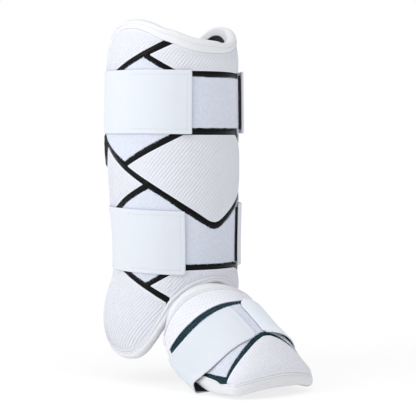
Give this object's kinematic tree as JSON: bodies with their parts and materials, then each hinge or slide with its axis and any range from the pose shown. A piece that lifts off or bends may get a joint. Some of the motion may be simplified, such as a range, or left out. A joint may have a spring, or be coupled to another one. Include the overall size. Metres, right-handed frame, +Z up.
{
  "type": "batter's leg guard",
  "caption": "Padded batter's shin shell with ribbed panels, bound edges and elastic calf straps, joined to a domed foot guard with its own strap.",
  "frame": {"origin": "on the leg's axis, midway between the calf straps", "axes": "+Z up the leg, toe towards -Y, +X to the wearer's left"},
  "size_m": [0.1419, 0.2485, 0.3762],
  "materials": {
    "pad": "matte black padded cloth",
    "panel": "ribbed white moulded fabric",
    "binding": "smooth white synthetic binding",
    "loop": "brushed grey-white loop pile",
    "elastic": "woven white elastic",
    "hook": "black hook tape"
  },
  "bodies": {
    "root": {"shin_pad": "pad", "foot_pad": "pad", "ankle_tab": "pad", "top_binding": "binding", "bottom_binding": "binding", "foot_binding": "binding", "upper_strap": "elastic", "lower_strap": "elastic", "foot_strap": "elastic", "upper_hook_patch": "hook", "lower_hook_patch": "hook", "top_front_panel": "panel", "centre_panel": "panel", "bottom_front_panel": "panel", "foot_rear_panel": "panel", "foot_toe_panel": "panel", "top_side_panel_left": "panel", "top_side_panel_right": "panel", "upper_side_panel_left": "panel", "upper_side_panel_right": "panel", "mid_side_panel_left": "panel", "mid_side_panel_right": "panel", "lower_side_panel_left": "panel", "lower_side_panel_right": "panel", "bottom_side_panel_left": "panel", "bottom_side_panel_right": "panel", "foot_side_panel_left": "panel", "foot_side_panel_right": "panel", "upper_loop_panel": "loop", "lower_loop_panel": "loop", "foot_loop_panel": "loop"}
  },
  "joints": []
}
